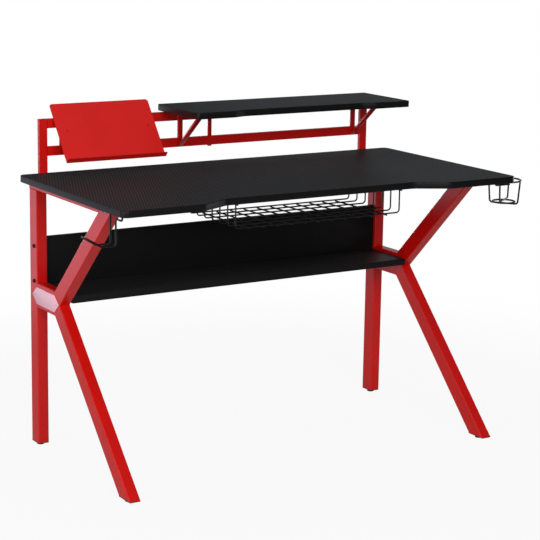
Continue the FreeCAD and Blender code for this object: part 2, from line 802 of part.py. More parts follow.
for arm_y in (cup_arm_front_y, cup_arm_rear_y):
    ring_x = cup_x - math.sqrt(cup_ring_radius**2 - (arm_y - cup_y) ** 2)
    run = [
        (ring_x, arm_y, cup_arm_height),
        (cup_arm_turn_x, arm_y, cup_arm_height),
        (cup_arm_turn_x - tab_radius, arm_y, wire_foot_height),
        (cup_foot_x, arm_y, wire_foot_height),
    ]
    tab_x = cup_foot_x - tab_radius + wire_radius
    cup_arm = bent_wire(run, wire_bend_radius, wire_radius).fuse(tab(tab_x, arm_y))
    cup_arms.append(cup_arm.cut(tab_bore(tab_x, arm_y)))
    board_holes.append(board_hole(tab_x, arm_y))
    accessory_screws.append(tab_screw(tab_x, arm_y))

# Inserts and levelling feet
flange_low = foot_height - insert_flange
plug_high = foot_height + insert_plug_height
post_flange = prism(tube_width, tube_depth, insert_flange, tube_corner_radius)
post_flange.translate(FreeCAD.Vector(-frame_middle_x, rear_stud_y, flange_low))
plug_inset = 2 * (tube_wall + insert_clearance)
post_plug = prism(
    tube_width - plug_inset, tube_depth - plug_inset, insert_plug_height, tube_corner_radius - tube_wall
)
post_plug.translate(FreeCAD.Vector(-frame_middle_x, rear_stud_y, foot_height))
leg_flange = prism(tube_width, lower_leg_section, insert_flange, tube_corner_radius)
leg_flange.translate(FreeCAD.Vector(-frame_middle_x, front_foot_y + lower_leg_section / 2, flange_low))
leg_plug = leg_blank(-lower_leg_angle, desk_height, insert_clearance)
leg_plug = leg_plug.common(leg_zone(foot_height, plug_high))
inserts = []
rear_insert = (post_flange, post_plug, rear_stud_y)
front_insert = (leg_flange, leg_plug, front_stud_y)
for flange, plug, stud_y in (rear_insert, front_insert):
    bore_start = FreeCAD.Vector(-frame_middle_x, stud_y, 0)
    bore = rod(bore_start, Z_AXIS, stud_radius + stud_clearance, desk_height)
    inserts.append(flange.fuse(plug).cut(bore))
pad = rod(ZERO, Z_AXIS, pad_radius, pad_height)
pad = pad.makeFillet(pad_edge_radius, [edge for edge in pad.Edges if edge.isClosed()])
collar_top = flange_low - foot_stop_gap
collar = rod(Z_AXIS * pad_height, Z_AXIS, stud_collar_radius, collar_top - pad_height)
stud = collar.fuse(rod(Z_AXIS * pad_height, Z_AXIS, stud_radius, stud_top - pad_height))

# Monitor shelf, its brackets and screws
shelf_recess = (shelf_recess_depth, shelf_recess_mouth_width, shelf_recess_floor_width, recess_bend_radius)
shelf, shelf_band = panel_with_band(
    shelf_width,
    shelf_rear_y,
    shelf_depth,
    board_thickness,
    shelf_corner_radius,
    shelf_recess,
    shelf_centre_x,
    shelf_bottom,
)
uprights = []
struts = []
arms = []
shelf_screws = []
shelf_holes = []
strut_slope = (arm_bottom - bracket_low) / (bracket_front_y - strut_front_y)
strut_angle = math.atan(strut_slope)
strut_rise = bracket_bar_thickness / math.cos(strut_angle)
strut_run = bracket_bar_thickness / math.sin(strut_angle)
for side_share in (-1, 1):
    bracket_x = shelf_centre_x + bracket_shift + side_share * bracket_span / 2
    x_low = bracket_x - bracket_bar_width / 2
    x_high = bracket_x + bracket_bar_width / 2
    uprights.append(block(x_low, x_high, bracket_front_y, bracket_rear_y, bracket_low, arm_bottom))
    strut_points = [
        (bracket_front_y, bracket_low),
        (bracket_front_y, bracket_low + strut_rise),
        (strut_front_y + strut_run, arm_bottom),
        (strut_front_y, arm_bottom),
    ]
    struts.append(plate_of(strut_points, x_low, bracket_bar_width))
    lip_front_y = rail_rear_y + slide_gap
    lip_rear_y = lip_front_y + arm_thickness
    lip = block(x_low, x_high, lip_front_y, lip_rear_y, arm_bottom - hook_lip_height, arm_bottom)
    arm = block(x_low, x_high, arm_front_y, lip_rear_y, arm_bottom, shelf_bottom).fuse(lip)
    arm_holes = []
    for screw_y in (arm_screw_front_y, arm_screw_rear_y):
        seat = FreeCAD.Vector(bracket_x, screw_y, arm_bottom)
        reach = arm_thickness + screw_bite
        shelf_screws.append(
            headed_pin(seat, Z_AXIS, screw_head_radius, screw_head_height, screw_radius, reach)
        )
        shelf_holes.append(blind_hole(seat, Z_AXIS, screw_radius, reach))
        arm_holes.append(blind_hole(seat, Z_AXIS, screw_radius, reach))
    arms.append(arm.removeSplitter().cut(arm_holes))

# Tablet rest: a folded sheet on two bent bars that hang over the upper rail
rest_low = rest_above_hook - rest_length
rest_x = rest_centre_x - rest_width / 2
lip_up = math.sin(math.radians(rest_lip_lean))
lip_out = math.cos(math.radians(rest_lip_lean))
lip_foot = rest_low + rest_sheet * (1 + lip_up) / lip_out
lip_tip = (rest_low + rest_lip * lip_up, rest_lip * lip_out)
lip_tip_inner = (lip_tip[0] + rest_sheet * lip_out, lip_tip[1] - rest_sheet * lip_up)
rest_outline = [
    (rest_above_hook, 0),
    (rest_above_hook, rest_sheet),
    (lip_foot, rest_sheet),
    lip_tip_inner,
    lip_tip,
    (rest_low, 0),
]
rest_corners = [rest_point(along, out, rest_x) for along, out in rest_outline]
rest_corners.append(rest_corners[0])
rest = Part.Face(Part.makePolygon(rest_corners)).extrude(X_AXIS * rest_width)
fold_middle = rest_point(rest_low, 0, rest_centre_x)
fold_inner = rest_point(lip_foot, rest_sheet, rest_centre_x)
rest_top_ends = []
rest_lip_ends = []
for x in (rest_x, rest_x + rest_width):
    rest_top_ends.append(rest_point(rest_above_hook, rest_sheet / 2, x))
    lip_end = rest_point(*lip_tip, x) + rest_point(*lip_tip_inner, x)
    rest_lip_ends.append(lip_end / 2)
rest = rest.makeFillet(rest_corner_radius, edges_near(rest, rest_top_ends))
rest = rest.makeFillet(rest_lip_corner_radius, edges_near(rest, rest_lip_ends))
rest = rest.makeFillet(rest_fold_radius, edges_near(rest, [fold_middle]))
rest = rest.makeFillet(rest_fold_radius - rest_sheet, edges_near(rest, [fold_inner]))
rest_brackets = []
rest_screws = []
rest_holes = []
back_up_y = rest_hook_y + rest_bracket_thickness
hook_rear = rail_rear_y + slide_gap
junction_drop = rest_bracket_thickness / rest_up_y
rest_inward = FreeCAD.Vector(0, rest_up_z, -rest_up_y)
leg_end = rest_point(-rest_bracket_leg, 0, 0)
leg_end_back = rest_point(-rest_bracket_leg, -rest_bracket_thickness, 0)
for side_share in (-1, 1):
    bracket_x = rest_centre_x + side_share * rest_bracket_span / 2
    bracket_points = [
        (hook_rear, upper_rail_top - hook_lip_height),
        (hook_rear, upper_rail_top + slide_gap),
        (back_up_y, upper_rail_top + slide_gap),
        (back_up_y, bracket_low),
        (rest_hook_y, bracket_low),
        (rest_hook_y, rest_hook_top - junction_drop),
        (leg_end_back.y, leg_end_back.z),
        (leg_end.y, leg_end.z),
        (rest_hook_y, rest_hook_top),
        (hook_rear + rest_bracket_thickness, rest_hook_top),
        (hook_rear + rest_bracket_thickness, upper_rail_top - hook_lip_height),
    ]
    bar = plate_of(bracket_points, bracket_x - bracket_bar_width / 2, bracket_bar_width)
    seat = rest_point(-rest_screw_drop, rest_sheet, bracket_x)
    reach = rest_sheet + rest_bracket_thickness + rest_screw_tail
    rest_screw = headed_pin(
        seat, rest_inward, rest_screw_head_radius, rest_screw_head_height, rest_screw_radius, reach
    )
    rest_screws.append(rest_screw)
    screw_hole = blind_hole(seat, rest_inward, rest_screw_radius, reach)
    rest_holes.append(screw_hole)
    rest_brackets.append(bar.cut(screw_hole))

# Names of the pieces
nodes["desktop_board"] = drilled(board, board_holes)
nodes["desktop_edge_band"] = board_band
post = drilled(post, rivet_holes + panel_bolt_holes + stretcher_holes)
crossbar = drilled(crossbar, shelf_bolt_holes + access_holes)
upper_leg = drilled(upper_leg, rivet_holes)
lower_leg = drilled(lower_leg, rivet_holes)
top_bar = drilled(top_bar, bar_holes + stretcher_holes)
nodes["left_rear_post"] = post
nodes["right_rear_post"] = mirrored(post)
nodes["left_top_bar"] = top_bar
nodes["right_top_bar"] = mirrored(top_bar)
nodes["left_crossbar"] = crossbar
nodes["right_crossbar"] = mirrored(crossbar)
nodes["left_upper_leg"] = upper_leg
nodes["right_upper_leg"] = mirrored(upper_leg)
nodes["left_lower_leg"] = lower_leg
nodes["right_lower_leg"] = mirrored(lower_leg)
nodes["knee_plates"] = both_sides(drilled(knee_plate, rivet_holes))
nodes["knee_plate_rivets"] = both_sides(Part.makeCompound(rivets))
middle = middle.fuse([middle_plate, mirrored(middle_plate)])
middle_tools = stretcher_holes + [mirrored(tool) for tool in stretcher_holes]
nodes["middle_stretcher"] = drilled(middle, middle_tools)
rear = rear.fuse([corner_plate, mirrored(corner_plate)])
rear_tools = middle_tools + upper_bolt_holes + [mirrored(tool) for tool in upper_bolt_holes]
nodes["rear_stretcher"] = drilled(rear, rear_tools)
nodes["stretcher_bolts"] = both_sides(Part.makeCompound(stretcher_bolts))
nodes["desktop_screws"] = both_sides(Part.makeCompound(bar_screws))
upper_post = drilled(upper_post, upper_bolt_holes)
nodes["left_upper_post"] = upper_post
nodes["right_upper_post"] = mirrored(upper_post)
nodes["upper_rail"] = rail
nodes["lower_rail"] = low_rail
nodes["rail_tie"] = tie
nodes["upper_post_bolts"] = both_sides(Part.makeCompound(upper_bolts))
panel_tools = panel_bolt_holes + [mirrored(tool) for tool in panel_bolt_holes] + panel_screw_holes
nodes["back_panel"] = drilled(panel_body, panel_tools)
shelf_tools = shelf_bolt_holes + [mirrored(tool) for tool in shelf_bolt_holes] + panel_screw_holes
nodes["lower_shelf"] = drilled(lower_board, shelf_tools)
nodes["panel_bolts"] = both_sides(Part.makeCompound(panel_bolts))
nodes["lower_shelf_bolts"] = both_sides(Part.makeCompound(shelf_bolts))
nodes["panel_screws"] = Part.makeCompound(panel_screws)
nodes["basket_long_wires"] = Part.makeCompound(long_wires)
nodes["basket_cross_wires"] = Part.makeCompound(cross_wires)
nodes["basket_rims"] = both_sides(rim)
nodes["headphone_hook"] = hook
nodes["cup_top_ring"] = top_ring
nodes["cup_floor_ring"] = floor_ring
nodes["cup_uprights"] = Part.makeCompound(cup_wires)
nodes["cup_arms"] = Part.makeCompound(cup_arms)
nodes["accessory_screws"] = Part.makeCompound(accessory_screws)
nodes["rear_foot_inserts"] = both_sides(inserts[0])
nodes["front_foot_inserts"] = both_sides(inserts[1])
for side, side_share in (("left", -1), ("right", 1)):
    for place, stud_y in (("rear", rear_stud_y), ("front", front_stud_y)):
        spot = FreeCAD.Vector(side_share * frame_middle_x, stud_y, 0)
        nodes[place + "_" + side + "_foot_pad"] = pad.translated(spot)
        nodes[place + "_" + side + "_foot_stud"] = stud.translated(spot)
nodes["monitor_shelf_board"] = drilled(shelf, shelf_holes)
nodes["monitor_shelf_band"] = shelf_band
nodes["shelf_uprights"] = Part.makeCompound(uprights)
nodes["shelf_struts"] = Part.makeCompound(struts)
nodes["shelf_arms"] = Part.makeCompound(arms)
nodes["shelf_screws"] = Part.makeCompound(shelf_screws)
nodes["rest_plate"] = drilled(rest, rest_holes)
nodes["rest_brackets"] = Part.makeCompound(rest_brackets)
nodes["rest_screws"] = Part.makeCompound(rest_screws)

os.makedirs("parts", exist_ok=True)
for name, shape in nodes.items():
    placed = shape.translated(FreeCAD.Vector(-origin_x, -origin_y, 0))
    placed.exportStep("parts/" + name + ".step")
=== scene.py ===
"""Looks of a gaming desk: its finishes, its edge-rounded boards, its fastener heads and the studio."""

import json
import logging
import math
from dataclasses import dataclass, field
from enum import Enum

import bmesh
import bpy
from mathutils import Matrix, Vector

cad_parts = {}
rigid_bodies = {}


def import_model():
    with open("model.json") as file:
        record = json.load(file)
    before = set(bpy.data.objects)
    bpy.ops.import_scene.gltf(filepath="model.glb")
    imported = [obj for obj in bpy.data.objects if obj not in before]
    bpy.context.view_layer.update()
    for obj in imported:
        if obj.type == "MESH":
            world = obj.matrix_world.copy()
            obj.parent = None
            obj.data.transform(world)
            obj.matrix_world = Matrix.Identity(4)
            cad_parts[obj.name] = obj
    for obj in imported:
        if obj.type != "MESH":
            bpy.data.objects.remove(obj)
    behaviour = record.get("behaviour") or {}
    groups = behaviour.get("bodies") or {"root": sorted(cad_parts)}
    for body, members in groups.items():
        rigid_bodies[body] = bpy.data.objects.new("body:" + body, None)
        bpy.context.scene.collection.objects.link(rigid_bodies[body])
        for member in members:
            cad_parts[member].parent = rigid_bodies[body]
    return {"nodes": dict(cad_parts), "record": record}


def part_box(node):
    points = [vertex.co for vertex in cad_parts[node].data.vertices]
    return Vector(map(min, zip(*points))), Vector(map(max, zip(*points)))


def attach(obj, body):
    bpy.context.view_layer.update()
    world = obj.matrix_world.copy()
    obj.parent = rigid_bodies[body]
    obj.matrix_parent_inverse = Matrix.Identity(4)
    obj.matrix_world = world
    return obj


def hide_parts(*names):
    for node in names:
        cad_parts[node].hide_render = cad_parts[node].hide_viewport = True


LOG = logging.getLogger("gaming_desk")

Span = tuple[float, float]
Point = tuple[float, float, float]
Color = tuple[float, float, float]
Socket = bpy.types.NodeSocket
Number = float | Socket
Value = Number | tuple[float, ...]
Shape = bmesh.types.BMesh
Faces = list[bmesh.types.BMFace]
Edges = list[bmesh.types.BMEdge]
Verts = list[bmesh.types.BMVert]

UNIT: Span = (0.0, 1.0)
# Part of the range of a noise that holds most of its values.
NOISE_MIDDLE: Span = (0.3, 0.7)
OPAQUE = 1.0
COATING_IOR = 1.5

ROUND_PROFILE = 0.5
KEEP_MATERIAL = -1
MERGE_DISTANCE = 1e-6
SHARP_ANGLE = math.radians(32)
FLAT_ANGLE = math.radians(1)
# Least upward part of the normal of a face that counts as the top of a board.
TOP_SLOPE = 0.9
CROSS_ARMS = 4
# Slope of the sheet of the tablet rest from the level.
REST_ANGLE = math.radians(52.6)


class Slot(Enum):
    """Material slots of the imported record."""

    RED = "red_powder_coat"
    BLACK_METAL = "black_powder_coat"
    TWILL = "carbon_laminate"
    BLACK_BOARD = "black_board"
    EDGING = "black_edging"
    PALE = "pale_plate"
    BOLT = "black_bolt"
    SCREW = "zinc_screw"
    PLASTIC = "black_plastic"
    STUD = "zinc_stud"


class Ramp(Enum):
    """Course of a ramp between its two ends."""

    STRAIGHT = "LINEAR"
    SMOOTH = "SMOOTHSTEP"


class Mixed(Enum):
    """What a mix node mixes, by the places of its factor, its two inputs and its output."""

    FLOAT = (0, 2, 3, 0)
    RGBA = (0, 6, 7, 2)


class Rounded(Enum):
    """What a bevel rounds."""

    CORNERS = "VERTICES"
    EDGES = "EDGES"


class Drive(Enum):
    """Shape of the recess in the head of a fastener, by the corners of its outline."""

    HEXAGON = 6
    CROSS = 12


class Facing(Enum):
    """Direction in which the heads of a group of fasteners point."""

    REAR = (0.0, 1.0, 0.0)
    DOWN = (0.0, 0.0, -1.0)
    OUTWARD = (1.0, 0.0, 0.0)
    INWARD = (-1.0, 0.0, 0.0)
    REST_FACE = (0.0, -math.sin(REST_ANGLE), math.cos(REST_ANGLE))

    def at(self, centre: Vector, middle_x: float) -> Vector:
        """Return the direction for a fastener.

        Args:
            centre: Middle of the fastener.
            middle_x: X of the plane between the left and the right side of the desk.

        Returns:
            The unit vector from the shank to the head.
        """
        direction = Vector(self.value).normalized()
        if self in (Facing.OUTWARD, Facing.INWARD) and centre.x < middle_x:
            direction.negate()
        return direction


class NodeTree:
    """Shader nodes of a material or of the surround, with short calls that add and join them."""

    def __init__(self, tree: bpy.types.NodeTree) -> None:
        """Take over a tree."""
        self.nodes = tree.nodes
        self.links = tree.links

    def add(self, kind: str, **settings: object) -> bpy.types.Node:
        """Add a node.

        Args:
            kind: Type name of the node.
            settings: Properties of the node and their values.

        Returns:
            The new node.
        """
        node = self.nodes.new(kind)
        for key, value in settings.items():
            setattr(node, key, value)
        return node

    def feed(self, socket: Socket, value: Value) -> None:
        """Link a socket to an output, or set it to a plain value.

        Args:
            socket: Input of a node.
            value: Output that drives it, or its value.
        """
        if isinstance(value, Socket):
            self.links.new(value, socket)
        else:
            socket.default_value = value

    def compute(self, operation: str, first: Number, second: Number = 0.0) -> Socket:
        """Add one step of arithmetic.

        Args:
            operation: Name of the operation.
            first: First value or output.
            second: Second value or output.

        Returns:
            The output of the step.
        """
        node = self.add("ShaderNodeMath", operation=operation)
        self.feed(node.inputs[0], first)
        self.feed(node.inputs[1], second)
        return node.outputs[0]

    def ramp(
        self, value: Number, ends: Span, results: Span = UNIT, course: Ramp = Ramp.STRAIGHT
    ) -> Socket:
        """Map a value from one range to another and hold it beyond the ends.

        Args:
            value: Value to map.
            ends: Values at which the ramp starts and ends.
            results: What the ends become.
            course: Course between them.

        Returns:
            The mapped value.
        """
        node = self.add("ShaderNodeMapRange", interpolation_type=course.value)
        self.feed(node.inputs["Value"], value)
        for key, limit in zip(("From Min", "From Max", "To Min", "To Max"), (*ends, *results)):
            node.inputs[key].default_value = limit
        return node.outputs["Result"]

    def mix(self, kind: Mixed, factor: Number, first: Value, second: Value) -> Socket:
        """Mix two numbers or two colours.

        Args:
            kind: What is mixed.
            factor: Share of the second one.
            first: The one at zero.
            second: The one at one.

        Returns:
            The mixed number or colour.
        """
        node = self.add("ShaderNodeMix", data_type=kind.name)
        *places, result = kind.value
        for place, value in zip(places, (factor, first, second)):
            self.feed(node.inputs[place], value)
        return node.outputs[result]

    def blend(self, factor: Number, first: Color, second: Color) -> Socket:
        """Return the mix of two plain colours, by the share of the second."""
        return self.mix(Mixed.RGBA, factor, (*first, OPAQUE), (*second, OPAQUE))


class ShaderGraph(NodeTree):
    """Nodes of one material, which end in its Principled shader."""

    def __init__(self, name: str) -> None:
        """Start a material with its Principled shader.

        Args:
            name: Name of the material.
        """
        self.material = bpy.data.materials.new(name)
        self.material.use_nodes = True
        super().__init__(self.material.node_tree)
        self.shader = self.nodes["Principled BSDF"]

    def constants(self, **values: object) -> None:
        """Set inputs of the shader that are the same all over, with spaces in names as underscores."""
        for key, value in values.items():
            self.shader.inputs[key.replace("_", " ")].default_value = value

    def gloss(self, shine: float) -> None:
        """Set the reflections of a coat of paint, laminate or plastic."""
        self.constants(IOR=COATING_IOR, Specular_IOR_Level=shine)

    def surface(self, color: Socket, roughness: Socket) -> None:
        """Link what varies over the surface to the shader."""
        self.links.new(color, self.shader.inputs["Base Color"])
        self.links.new(roughness, self.shader.inputs["Roughness"])

    def place(self) -> Socket:
        """Return the place on the piece, in metres."""
        return self.add("ShaderNodeTexCoord").outputs["Object"]

    def noise(self, size: float, detail: float) -> Socket:
        """Add a noise.

        Args:
            size: Width of one grain in metres.
            detail: Number of finer layers.

        Returns:
            The strength of the noise, about one half on average.
        """
        node = self.add("ShaderNodeTexNoise")
        self.links.new(self.place(), node.inputs["Vector"])
        node.inputs["Scale"].default_value = 1 / size
        node.inputs["Detail"].default_value = detail
        return node.outputs["Fac"]

    def spread(self, noise: Socket, results: Span = UNIT) -> Socket:
        """Return the middle of a noise stretched to a range."""
        return self.ramp(noise, NOISE_MIDDLE, results)

    def bump(self, height: Socket, depth: float, strength: float = 1.0) -> None:
        """Raise the surface.

        Args:
            height: Height from zero to one.
            depth: Height in metres that one stands for.
            strength: Share of the relief that shows.
        """
        node = self.add("ShaderNodeBump")
        node.inputs["Strength"].default_value = strength
        node.inputs["Distance"].default_value = depth
        self.links.new(height, node.inputs["Height"])
        self.links.new(node.outputs["Normal"], self.shader.inputs["Normal"])


@dataclass(frozen=True)
class Finish:
    """A finish of the desk, by the name of its material."""

    name: str

    def paint(self, graph: ShaderGraph) -> None:
        """Add the nodes of the finish to the graph of its material."""
        raise NotImplementedError

    def material(self) -> bpy.types.Material:
        """Make the material.

        Returns:
            The new material.
        """
        graph = ShaderGraph(self.name)
        self.paint(graph)
        return graph.material


@dataclass(frozen=True)
class PowderCoat(Finish):
    """Baked powder coat: a colour that drifts slowly, and a fine orange-peel skin."""

    color: Color
    deep_color: Color
    roughness: Span
    peel_size: float = 0.0016
    peel_depth: float = 0.00002
    shine: float = 0.5
    peel_detail: float = 3.0
    drift_size: float = 0.09
    drift_detail: float = 2.0

    def paint(self, graph: ShaderGraph) -> None:
        """Add the drift of the colour and the peel.

        Args:
            graph: Graph of the material.
        """
        drift = graph.spread(graph.noise(self.drift_size, self.drift_detail))
        peel = graph.noise(self.peel_size, self.peel_detail)
        graph.surface(
            graph.blend(drift, self.color, self.deep_color), graph.spread(peel, self.roughness)
        )
        graph.gloss(self.shine)
        graph.bump(peel, self.peel_depth)


@dataclass(frozen=True)
class TwillLaminate(Finish):
    """Matt laminate printed and pressed with a two-over-two twill of flat strands."""

    over_color: Color
    under_color: Color
    strand: Span = (0.0020, 0.0046)
    strand_depth: float = 0.00005
    relief: float = 0.6
    roughness: Span = (0.50, 0.62)
    shine: float = 0.06
    repeat: float = 4.0
    # Brings the curve of a strand, its part times the rest, to one in the middle.
    crown_gain: float = 4.0

    def strand_crown(self, graph: ShaderGraph, across: Socket) -> Socket:
        """Add the rounded height of strands.

        Args:
            graph: Graph of the material.
            across: Place across the strands, counted in strands.

        Returns:
            The height, from zero at the sides of a strand to one in its middle.
        """
        part = graph.compute("FRACT", across)
        rest = graph.compute("SUBTRACT", 1.0, part)
        return graph.compute("MULTIPLY", graph.compute("MULTIPLY", part, rest), self.crown_gain)

    def paint(self, graph: ShaderGraph) -> None:
        """Add the strands, those that lie on top in their own colour.

        Args:
            graph: Graph of the material.
        """
        split = graph.add("ShaderNodeSeparateXYZ")
        graph.links.new(graph.place(), split.inputs[0])
        across = graph.compute("DIVIDE", split.outputs["X"], self.strand[0])
        along = graph.compute("DIVIDE", split.outputs["Y"], self.strand[1])
        steps = graph.compute("SUBTRACT", graph.compute("FLOOR", across), graph.compute("FLOOR", along))
        turn = graph.compute("FLOORED_MODULO", steps, self.repeat)
        over = graph.compute("LESS_THAN", turn, self.repeat / 2)
        under = graph.compute("SUBTRACT", 1.0, over)
        crown = graph.compute(
            "ADD",
            graph.compute("MULTIPLY", over, self.strand_crown(graph, across)),
            graph.compute("MULTIPLY", under, self.strand_crown(graph, along)),
        )
        low, high = self.roughness
        rough = graph.compute("ADD", low, graph.compute("MULTIPLY", under, high - low))
        graph.surface(graph.blend(over, self.under_color, self.over_color), rough)
        graph.gloss(self.shine)
        graph.bump(crown, self.strand_depth, self.relief)


@dataclass(frozen=True)
class GrainedSkin(Finish):
    """Plain dark skin with a fine grain, for boards, edge bands and moulded plastic."""

    color: Color
    pale_color: Color
    roughness: Span
    grain_size: float
    grain_depth: float
    shine: float = 0.5
    grain_detail: float = 4.0

    def paint(self, graph: ShaderGraph) -> None:
        """Add the grain.

        Args:
            graph: Graph of the material.
        """
        grain = graph.noise(self.grain_size, self.grain_detail)
        graph.surface(
            graph.blend(graph.spread(grain), self.color, self.pale_color),
            graph.spread(grain, self.roughness),
        )
        graph.gloss(self.shine)
        graph.bump(grain, self.grain_depth)


@dataclass(frozen=True)
class PlatedSteel(Finish):
    """Plated or blackened steel with faint clouds in its shine."""

    color: Color
    deep_color: Color
    roughness: Span
    cloud_size: float = 0.003
    cloud_detail: float = 3.0

    def paint(self, graph: ShaderGraph) -> None:
        """Add the clouds.

        Args:
            graph: Graph of the material.
        """
        cloud = graph.noise(self.cloud_size, self.cloud_detail)
        graph.surface(
            graph.blend(graph.spread(cloud), self.color, self.deep_color),
            graph.spread(cloud, self.roughness),
        )
        graph.constants(Metallic=1.0)


FINISHES: dict[Slot, Finish] = {
    Slot.RED: PowderCoat(
        "red_powder_coat_skin", (0.60, 0.0036, 0.0016), (0.55, 0.0029, 0.0013), (0.27, 0.34),
        peel_size=0.0035, peel_depth=0.000012,
    ),
    Slot.BLACK_METAL: PowderCoat(
        "black_powder_coat_skin", (0.0040, 0.0040, 0.0043), (0.0030, 0.0030, 0.0032), (0.30, 0.42),
        shine=0.3,
    ),
    Slot.TWILL: TwillLaminate(
        "twill_laminate_skin", (0.0338, 0.0380, 0.0394), (0.0198, 0.0222, 0.0232)
    ),
    Slot.BLACK_BOARD: GrainedSkin(
        "black_board_skin", (0.0050, 0.0049, 0.0051), (0.0068, 0.0066, 0.0068), (0.48, 0.60),
        grain_size=0.0009, grain_depth=0.00002, shine=0.15,
    ),
    Slot.EDGING: GrainedSkin(
        "edge_band_skin", (0.0030, 0.0030, 0.0034), (0.0040, 0.0040, 0.0044), (0.42, 0.52),
        grain_size=0.0008, grain_depth=0.00001, shine=0.22,
    ),
    Slot.PALE: PowderCoat(
        "pale_lacquer_skin", (0.90, 0.52, 0.62), (0.87, 0.50, 0.59), (0.30, 0.40)
    ),
    Slot.BOLT: PlatedSteel(
        "black_bolt_skin", (0.030, 0.030, 0.032), (0.018, 0.018, 0.020), (0.30, 0.46)
    ),
    Slot.SCREW: PlatedSteel(
        "zinc_screw_skin", (0.62, 0.62, 0.64), (0.52, 0.52, 0.55), (0.26, 0.40)
    ),
    Slot.PLASTIC: GrainedSkin(
        "moulded_plastic_skin", (0.008, 0.008, 0.008), (0.012, 0.012, 0.012), (0.44, 0.58),
        grain_size=0.0006, grain_depth=0.00003,
    ),
    Slot.STUD: PlatedSteel(
        "zinc_stud_skin", (0.66, 0.66, 0.68), (0.56, 0.56, 0.58), (0.24, 0.36)
    ),
}

# Lighter copy of the black board skin, only for the top faces of the lower shelf: painted light falling on
# the shelf's top.
LOWER_SHELF_LIT_TOP_SKIN = GrainedSkin(
    "lower_shelf_painted_light_top_skin", (0.0175, 0.0174, 0.0186), (0.0225, 0.0224, 0.0236), (0.46, 0.58),
    grain_size=0.0009, grain_depth=0.00002, shine=0.3,
)

REST_SHEET_SKIN = PowderCoat(
    "rest_sheet_skin", (0.62, 0.0066, 0.0042), (0.58, 0.0056, 0.0036), (0.48, 0.56),
    peel_size=0.0035, peel_depth=0.000012, shine=0.36,
)


def soften(
    shape: Shape, parts: Edges | Verts, width: float, steps: int, rounded: Rounded = Rounded.EDGES
) -> None:
    """Round edges or corners of a shape.

    Args:
        shape: Mesh that holds them.
        parts: Edges or corners to round.
        width: How far the rounding reaches from each.
        steps: Number of flats in it.
        rounded: Whether the parts are edges or corners.
    """
    bmesh.ops.bevel(
        shape, geom=parts, offset=width, offset_type="OFFSET", affect=rounded.value,
        segments=steps, profile=ROUND_PROFILE, material=KEEP_MATERIAL,
    )


def thicken(shape: Shape, faces: Faces, shift: Point) -> None:
    """Extrude flat faces into plates.

    Args:
        shape: Mesh that holds them.
        faces: Faces that become one side of the plates.
        shift: Way from there to the other side.
    """
    grown = bmesh.ops.extrude_face_region(shape, geom=faces, use_keep_orig=True)["geom"]
    moved = [item for item in grown if isinstance(item, bmesh.types.BMVert)]
    bmesh.ops.translate(shape, verts=moved, vec=shift)


def face_outwards(shape: Shape) -> None:
    """Turn the faces of a closed shape outwards.

    Args:
        shape: Mesh of the shape.
    """
    bmesh.ops.recalc_face_normals(shape, faces=shape.faces)
    if shape.calc_volume(signed=True) < 0:
        bmesh.ops.reverse_faces(shape, faces=shape.faces)


@dataclass
class Workshop:
    """The loaded frame, the materials made so far, and the calls that turn meshes into pieces."""

    nodes: dict[str, bpy.types.Object]
    node_slots: dict[str, Slot]
    materials: dict[str, bpy.types.Material] = field(default_factory=dict)

    @classmethod
    def open(cls) -> "Workshop":
        """Load the frame and read which slot each node takes.

        Returns:
            The workshop.
        """
        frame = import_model()
        slots = {row["node"]: Slot(row["material_slot"]) for row in frame["record"]["subparts"]}
        return cls(frame["nodes"], slots)

    def material(self, finish: Finish) -> bpy.types.Material:
        """Find the material of a finish, which is made at its first use.

        Args:
            finish: The finish.

        Returns:
            Its material.
        """
        if finish.name not in self.materials:
            self.materials[finish.name] = finish.material()
        return self.materials[finish.name]

    def middle_x(self) -> float:
        """Return the X of the plane between the left and the right side of the desk."""
        low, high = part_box("upper_rail")
        return (low.x + high.x) / 2

    def dress_node(self, node: str, finish: Finish | None = None) -> None:
        """Give a node that keeps its shape a finish.

        Args:
            node: Name of the node.
            finish: Finish of its own, where it doesn't take that of its slot.
        """
        slot = self.node_slots[node]
        for material_slot in self.nodes[node].material_slots:
            material_slot.material = self.material(finish or FINISHES[slot])
        LOG.info("kept %s in %s", node, slot.value)

    def piece(self, name: str, shape: Shape, body: str, node: str) -> bpy.types.Object:
        """Turn a finished shape into a piece that stands for a node and moves with a body.

        Args:
            name: Name of the piece.
            shape: Its mesh with the faces outwards, which is freed.
            body: Body that it rides on.
            node: Node that it replaces, whose slot gives its finish.

        Returns:
            The new object.
        """
        slot = self.node_slots[node]
        mesh = bpy.data.meshes.new(name)
        shape.to_mesh(mesh)
        shape.free()
        mesh.shade_smooth()
        mesh.set_sharp_from_angle(angle=SHARP_ANGLE)
        mesh.materials.append(self.material(FINISHES[slot]))
        made = bpy.data.objects.new(name, mesh)
        bpy.context.scene.collection.objects.link(made)
        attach(made, body)
        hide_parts(node)
        LOG.info("made %s in %s for %s", name, slot.value, node)
        return made

    def islands(self, node: str) -> list[list[Vector]]:
        """Split a node into its separate solids.

        Args:
            node: Name of the node.

        Returns:
            The corner points of each solid.
        """
        shape = bmesh.new()
        shape.from_mesh(self.nodes[node].data)
        bmesh.ops.remove_doubles(shape, verts=shape.verts, dist=MERGE_DISTANCE)
        waiting = set(shape.verts)
        found = []
        while waiting:
            group = [waiting.pop()]
            for vert in group:
                joined = {edge.other_vert(vert) for edge in vert.link_edges} & waiting
                waiting -= joined
                group.extend(joined)
            found.append([vert.co.copy() for vert in group])
        shape.free()
        return found


@dataclass(frozen=True)
class Recess:
    """Trapezoid recess in the front edge of a board."""

    depth: float
    mouth: float
    floor: float
    bend_radius: float

    def setback(self) -> float:
        """Return how far a bend starts from its corner."""
        slope = math.atan2(self.depth, (self.mouth - self.floor) / 2)
        return self.bend_radius * math.tan(slope / 2)


